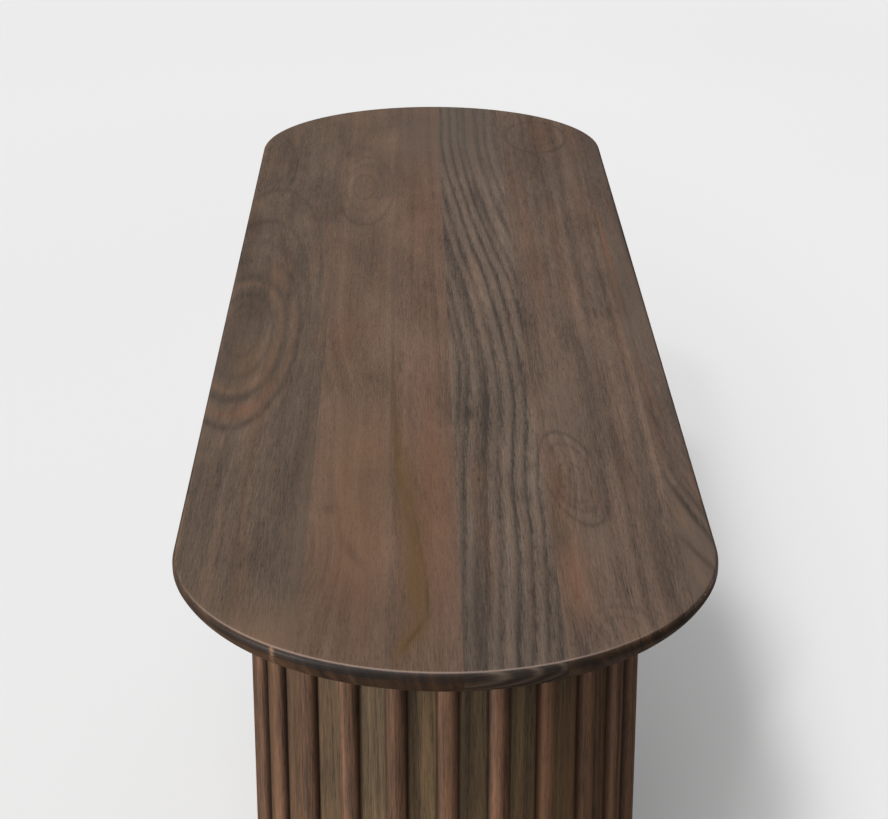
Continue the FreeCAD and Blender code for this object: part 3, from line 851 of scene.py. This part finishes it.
BOARD_2 = Figure(
    colour="board_2", vigour=0.48, band=0.009, contrast=0.06, sawn=0.42, tilt=20.0, lip=0.52, bevel=0.8,
    eyes=[Eye(0.52, -0.095, 0.08, 0.024, -0.03)],
    rises=[Rise(0.02, 0.3, 0.02)],
    stripes=[Stripe(-0.091, 0.004, 0.06), Stripe(-0.103, 0.003, 0.05)],
    patches=[
        Patch(0.61, -0.065, 0.1, 0.06, "smoke", 0.2),
        Patch(0.4, -0.066, 0.17, 0.026, "honey", 0.5),
        Patch(0.56, -0.065, 0.1, 0.03, "copper", 0.3),
        Patch(0.1, -0.078, 0.07, 0.012, "copper", 0.35),
        Patch(0.22, -0.0375, 0.14, 0.0016, "olive", 0.6),
        Patch(0.455, -0.08, 0.01, 0.004, "smoke", 0.4),
        Patch(0.53, -0.062, 0.022, 0.004, "smoke", 0.3, 0.3),
        Patch(-0.36, -0.072, 0.03, 0.008, "smoke", 0.2),
        Patch(-0.17, -0.065, 0.16, 0.06, "smoke", 0.08),
    ],
    ovals=[
        Oval(-0.36, -0.07, 0.045, 0.011, 0.12, "smoke", 0.22, 0.0),
        Oval(-0.36, -0.07, 0.085, 0.019, 0.08, "smoke", 0.16, 0.0),
        Oval(-0.35, -0.068, 0.125, 0.028, 0.06, "smoke", 0.2, 0.3),
    ],
)
BOARD_3 = Figure(
    colour="board_3", vigour=0.65, band=0.008, contrast=0.08, sawn=0.42, tilt=15.0, lip=0.92, bevel=0.78,
    rises=[Rise(0.35, 0.6, 0.016)],
    patches=[
        Patch(-0.57, -0.014, 0.16, 0.06, "ash", 0.45),
        Patch(0.61, -0.014, 0.07, 0.06, "smoke", 0.14),
        Patch(0.46, -0.006, 0.18, 0.016, "copper", 0.4),
        Patch(-0.28, -0.01, 0.18, 0.018, "copper", 0.2),
        Patch(0.26, -0.0357, 0.14, 0.0026, "olive", 0.6, 0.02),
        Patch(0.44, -0.026, 0.14, 0.008, "amber", 0.75, 0.06),
        Patch(0.585, -0.02, 0.06, 0.0075, "amber", 0.7, 0.03),
        Patch(0.66, -0.0265, 0.03, 0.0065, "amber", 0.7, -0.25),
        Patch(0.51, -0.0174, 0.06, 0.0012, "olive", 0.55, 0.075),
        Patch(0.6, -0.0126, 0.03, 0.0013, "olive", 0.75, 0.01),
        Patch(0.65, -0.0218, 0.022, 0.0016, "olive", 0.8, -0.33),
    ],
)
BOARD_4 = Figure(
    colour="board_4", vigour=0.75, band=0.006, contrast=0.06, sawn=0.85, tilt=-84.0, lip=1.1, bevel=1.1,
    rises=[Rise(-0.55, 0.2, 0.0455), Rise(0.19, 0.46, -0.0075), Rise(0.45, 0.75, -0.0085)],
    stripes=[
        Stripe(-0.0305, 0.0026, 0.22),
        Stripe(-0.0235, 0.0032, 0.31),
        Stripe(-0.015, 0.0032, 0.24),
        Stripe(-0.0095, 0.0032, 0.34),
        Stripe(0.0005, 0.0025, 0.32),
        Stripe(0.011, 0.0021, 0.4),
        Stripe(0.0205, 0.0021, 0.33),
        Stripe(0.03, 0.002, 0.33),
        Stripe(0.0375, 0.0027, 0.26),
        Stripe(0.0515, 0.0029, 0.28),
        Stripe(0.061, 0.0024, 0.22),
        Stripe(0.0715, 0.002, 0.22),
    ],
    patches=[
        Patch(0.65, 0.04, 0.1, 0.08, "smoke", 0.27),
        Patch(-0.62, 0.04, 0.22, 0.08, "ash", 0.62),
        Patch(0.58, 0.0195, 0.13, 0.004, "smoke", 0.35, -0.04),
        Patch(0.398, 0.0262, 0.02, 0.005, "honey", 0.3),
        Patch(0.405, 0.0259, 0.005, 0.0015, "smoke", 0.8),
    ],
    slivers=[
        Patch(0.697, 0.03, 0.001, 0.03, "board_4", 0.6),
        Patch(0.6945, 0.035, 0.0012, 0.035, "smoke", 0.8),
        Patch(0.6918, 0.04, 0.001, 0.035, "board_4", 0.7),
        Patch(0.689, 0.045, 0.0013, 0.035, "smoke", 0.8),
        Patch(0.686, 0.05, 0.001, 0.035, "board_4", 0.65),
        Patch(0.683, 0.05, 0.0013, 0.035, "smoke", 0.75),
        Patch(0.68, 0.055, 0.001, 0.035, "board_4", 0.6),
    ],
)
BOARD_5 = Figure(
    colour="board_5", vigour=0.8, band=0.009, contrast=0.1, sawn=0.16, tilt=25.0, lip=1.85, bevel=1.45,
    eyes=[Eye(0.4, 0.091, 0.085, 0.015, -0.012), Eye(0.7, 0.102, 0.09, 0.02, -0.02)],
    patches=[
        Patch(0.57, 0.084, 0.07, 0.01, "copper", 0.45),
        Patch(0.43, 0.082, 0.06, 0.008, "copper", 0.3),
        Patch(0.5, 0.079, 0.03, 0.006, "smoke", 0.3),
        Patch(-0.56, 0.118, 0.07, 0.01, "copper", 0.4),
        Patch(-0.46, 0.115, 0.13, 0.08, "smoke", 0.24),
        Patch(0.12, 0.116, 0.12, 0.005, "smoke", 0.2, 0.06),
        Patch(0.37, 0.1315, 0.12, 0.006, "smoke", 0.28, 0.07),
        Patch(0.56, 0.1405, 0.09, 0.006, "smoke", 0.28, 0.03),
        Patch(0.27, 0.098, 0.08, 0.012, "board_4", 0.5, 0.05),
        Patch(0.52, 0.108, 0.05, 0.01, "board_4", 0.35, 0.1),
    ],
    ovals=[
        Oval(0.4, 0.0935, 0.086, 0.021, 0.05, "smoke", 0.32, 0.0, 0.09),
        Oval(0.4, 0.0935, 0.062, 0.016, 0.07, "smoke", 0.2, 0.0, 0.09),
        Oval(0.41, 0.0935, 0.036, 0.01, 0.1, "smoke", 0.16, 0.0, 0.09),
        Oval(0.67, 0.108, 0.06, 0.026, 0.05, "smoke", 0.22),
        Oval(0.67, 0.108, 0.045, 0.018, 0.07, "smoke", 0.15),
        Oval(-0.558, 0.115, 0.066, 0.033, 0.07, "smoke", 0.28),
        Oval(-0.56, 0.117, 0.038, 0.019, 0.1, "smoke", 0.2),
    ],
)
BOARD_6 = Figure(
    colour="board_6", vigour=0.8, band=0.006, contrast=0.06, sawn=0.3, tilt=40.0, lip=2.8, bevel=2.6,
    rises=[Rise(0.3, 0.62, 0.045)],
    stripes=[Stripe(0.151, 0.0016, 0.14), Stripe(0.163, 0.0016, 0.14)],
    patches=[
        Patch(0.0, 0.17, 0.13, 0.06, "board_4", 0.55),
        Patch(0.31, 0.17, 0.09, 0.06, "smoke", 0.11),
        Patch(-0.155, 0.161, 0.17, 0.0018, "copper", 0.6),
        Patch(-0.2, 0.182, 0.15, 0.005, "smoke", 0.6),
        Patch(-0.5, 0.17, 0.16, 0.05, "smoke", 0.2),
        Patch(0.54, 0.168, 0.09, 0.03, "board_4", 0.65),
        Patch(0.47, 0.1625, 0.03, 0.004, "honey", 0.22, 0.1),
        Patch(0.555, 0.164, 0.03, 0.004, "honey", 0.22, 0.1),
        Patch(0.465, 0.171, 0.055, 0.0026, "smoke", 0.65, 0.19),
        Patch(0.45, 0.1765, 0.05, 0.0022, "smoke", 0.4, 0.19),
        Patch(0.535, 0.1685, 0.032, 0.0022, "smoke", 0.5, 0.3),
        Patch(0.545, 0.1735, 0.025, 0.0016, "olive", 0.5, 0.3),
        Patch(0.29, 0.164, 0.03, 0.003, "smoke", 0.35, 0.15),
    ],
)
BOARD_FIGURES = (BOARD_1, BOARD_2, BOARD_3, BOARD_4, BOARD_5, BOARD_6)


class HALLTABLE_OT_boards(bpy.types.Operator):
    """Make the six boards of the top, with their softened rim"""

    bl_idname = "hall_table.boards"
    bl_label = "Top boards"

    def execute(self, context):
        sizes, colours = context.scene.table_sizes, context.scene.timber_colours
        profile = rim_profile(sizes, RIM_LOW.z, RIM_HIGH.z)
        for node, figure in zip(BOARD_NAMES, BOARD_FIGURES):
            low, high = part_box(node)
            rings = board_rings(profile, low.y, high.y)
            timber = board_timber(f"{node}_timber", figure, colours)
            lofted_piece(node, [rings], timber, BOARD_CREASE)
        return {"FINISHED"}


class HALLTABLE_OT_ribs(bpy.types.Operator):
    """Make the half-round ribs of both drums"""

    bl_idname = "hall_table.ribs"
    bl_label = "Ribs"

    def execute(self, context):
        sizes, colours = context.scene.table_sizes, context.scene.timber_colours
        timber = slat_timber("rib_timber", colours.rib, sizes.rib_count, RIB_SHIFT, RIB_EDGE, colours)
        step = math.tau / sizes.rib_count
        for side, centre in zip(SIDES, (-DRUM_AXIS, DRUM_AXIS)):
            for group in GROUPS:
                node = f"{side}_ribs_{group}"
                low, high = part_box(node)
                turns = [((group - 1) * RIBS_PER_GROUP + rib) * step for rib in range(RIBS_PER_GROUP)]
                solids = [rib_rings(sizes, centre, turn, low.z, high.z) for turn in turns]
                lofted_piece(node, solids, timber, RIB_CREASE)
        return {"FINISHED"}


class HALLTABLE_OT_staves(bpy.types.Operator):
    """Finish the flat staves of both drums"""

    bl_idname = "hall_table.staves"
    bl_label = "Staves"

    def execute(self, context):
        sizes, colours = context.scene.table_sizes, context.scene.timber_colours
        count, redder = sizes.rib_count, colours.heartwood
        timber = slat_timber("stave_timber", colours.stave, count, STAVE_SHIFT, STAVE_EDGE, colours, redder)
        dress([f"staves_{group}" for group in GROUPS], timber)
        return {"FINISHED"}


class HALLTABLE_OT_inner_parts(bpy.types.Operator):
    """Finish the plates, rings, fixings and glides"""

    bl_idname = "hall_table.inner_parts"
    bl_label = "Inner parts"

    def execute(self, context):
        colours = context.scene.timber_colours
        for part, (low, high) in PLY_LEVELS.items():
            dress([part], ply_finish(f"{part}_ply", low.z, high.z, colours))
        zinc = metal_finish("zinc_plate", colours.zinc, ZINC_ROUGHNESS)
        dress(["bolts", "washers", "glide_screws"], zinc)
        dress(["threaded_inserts"], metal_finish("plain_brass", colours.brass, BRASS_ROUGHNESS))
        dress(["glides"], nylon_finish("moulded_nylon", colours.nylon))
        return {"FINISHED"}


def floor_sheet(studio):
    """Square floor at the level of the glides, which throws no light back on the table."""
    mesh = bpy.data.meshes.new("floor")
    corners = FLOOR_REACH * np.array([(-1, -1, 0), (1, -1, 0), (1, 1, 0), (-1, 1, 0)])
    mesh.from_pydata(corners, [], [(0, 1, 2, 3)])
    mesh.materials.append(floor_finish("floor_matt", studio.floor))
    floor = bpy.data.objects.new("floor", mesh)
    bpy.context.scene.collection.objects.link(floor)
    floor.visible_diffuse = False
    floor.visible_glossy = False
    return floor


def sun_lamp(name, direction, strength, spread, linked, state):
    """Even light travelling in one direction, which takes in the linked objects alone or leaves them out."""
    light = bpy.data.lights.new(name, "SUN")
    light.energy = strength
    light.angle = spread
    lamp = bpy.data.objects.new(name, light)
    aim = unit(np.array(direction))
    side = unit(np.cross(aim, (0.0, 0.0, 1.0)))
    lamp.matrix_world = Matrix(np.stack([side, np.cross(side, aim), -aim], axis=1)).to_4x4()
    bpy.context.scene.collection.objects.link(lamp)
    lit = bpy.data.collections.new(f"{name}_receivers")
    for piece in linked:
        lit.objects.link(piece)
    lamp.light_linking.receiver_collection = lit
    for entry in lit.collection_objects:
        entry.light_linking.link_state = state


def studio_suns(studio, floor):
    """The suns, each linked to what it lights: the floor, the whole table, the drums or the boards."""
    boards = [bpy.data.objects[dressed_name(node)] for node in BOARD_NAMES]
    links = {
        "floor": ([floor], "INCLUDE"),
        "table": ([floor], "EXCLUDE"),
        "drums": ([floor, *boards], "EXCLUDE"),
        "boards": (boards, "INCLUDE"),
    }
    for sun in SUNS:
        strength, spread = getattr(studio, f"{sun.name}_strength"), getattr(studio, f"{sun.name}_spread")
        sun_lamp(f"{sun.name}_light", sun.direction, strength, spread, *links[sun.lit])


def studio_sky(studio):
    """Even light that grows from the horizon with the square of the height, and a plain camera backdrop."""
    world = bpy.data.worlds.new("studio_sky")
    world.use_nodes = True
    nodes = NodeSet(world.node_tree)
    climb = nodes.parts(nodes.add("ShaderNodeTexCoord", {}, output="Generated"))[2]
    above = nodes.math("MAXIMUM", climb, 0.0)
    upper = nodes.span(nodes.times(above, above), 0.0, 1.0, studio.sky_horizon, studio.sky_zenith)
    lower = nodes.times(nodes.math("LESS_THAN", climb, 0.0), studio.sky_ground - studio.sky_horizon)
    seen = nodes.add("ShaderNodeLightPath", {}, output="Is Camera Ray")
    light = nodes.times(nodes.total(upper, lower), nodes.less(1.0, seen))
    strength = nodes.total(light, nodes.times(seen, studio.backdrop))
    background = world.node_tree.nodes["Background"]
    nodes.feed(background.inputs["Color"], (1.0, 1.0, 1.0, 1.0))
    nodes.feed(background.inputs["Strength"], strength)
    return world


def studio_camera(studio):
    """Camera at the end of the table, looking along it and down."""
    lens = bpy.data.cameras.new("camera")
    lens.lens = studio.camera_lens
    lens.sensor_width = SENSOR_WIDTH
    lens.clip_end = VIEW_REACH
    camera = bpy.data.objects.new("camera", lens)
    camera.location = studio.camera_place
    camera.rotation_euler = (math.pi / 2 - studio.camera_pitch, 0.0, math.pi / 2 - studio.camera_yaw)
    bpy.context.scene.collection.objects.link(camera)
    return camera


class HALLTABLE_OT_stage(bpy.types.Operator):
    """Set up the floor, the lights and the camera"""

    bl_idname = "hall_table.stage"
    bl_label = "Stage"

    def execute(self, context):
        scene, studio = context.scene, context.scene.studio_settings
        studio_suns(studio, floor_sheet(studio))
        scene.world = studio_sky(studio)
        scene.view_settings.view_transform = "Standard"
        scene.camera = studio_camera(studio)
        return {"FINISHED"}


OPERATORS = (
    HALLTABLE_OT_boards,
    HALLTABLE_OT_ribs,
    HALLTABLE_OT_staves,
    HALLTABLE_OT_inner_parts,
    HALLTABLE_OT_stage,
)


class HALLTABLE_PT_build(bpy.types.Panel):
    """Lists the steps that build the table"""

    bl_label = "Hall Table"
    bl_space_type = "VIEW_3D"
    bl_region_type = "UI"
    bl_category = "Hall Table"

    def draw(self, context):
        for operator in OPERATORS:
            self.layout.operator(operator.bl_idname)


SETTINGS = {"table_sizes": TableSizes, "timber_colours": TimberColours, "studio_settings": StudioSettings}
CLASSES = (*SETTINGS.values(), *OPERATORS, HALLTABLE_PT_build)


def register():
    """Add the classes and their settings."""
    for entry in CLASSES:
        bpy.utils.register_class(entry)
    for name, group in SETTINGS.items():
        setattr(bpy.types.Scene, name, PointerProperty(type=group))


def unregister():
    """Take the settings and classes away again."""
    for name in SETTINGS:
        delattr(bpy.types.Scene, name)
    for entry in reversed(CLASSES):
        bpy.utils.unregister_class(entry)


def main():
    """Build the pieces and the stage in order."""
    register()
    bpy.ops.hall_table.boards()
    bpy.ops.hall_table.ribs()
    bpy.ops.hall_table.staves()
    bpy.ops.hall_table.inner_parts()
    bpy.ops.hall_table.stage()


if __name__ == "__main__":
    main()
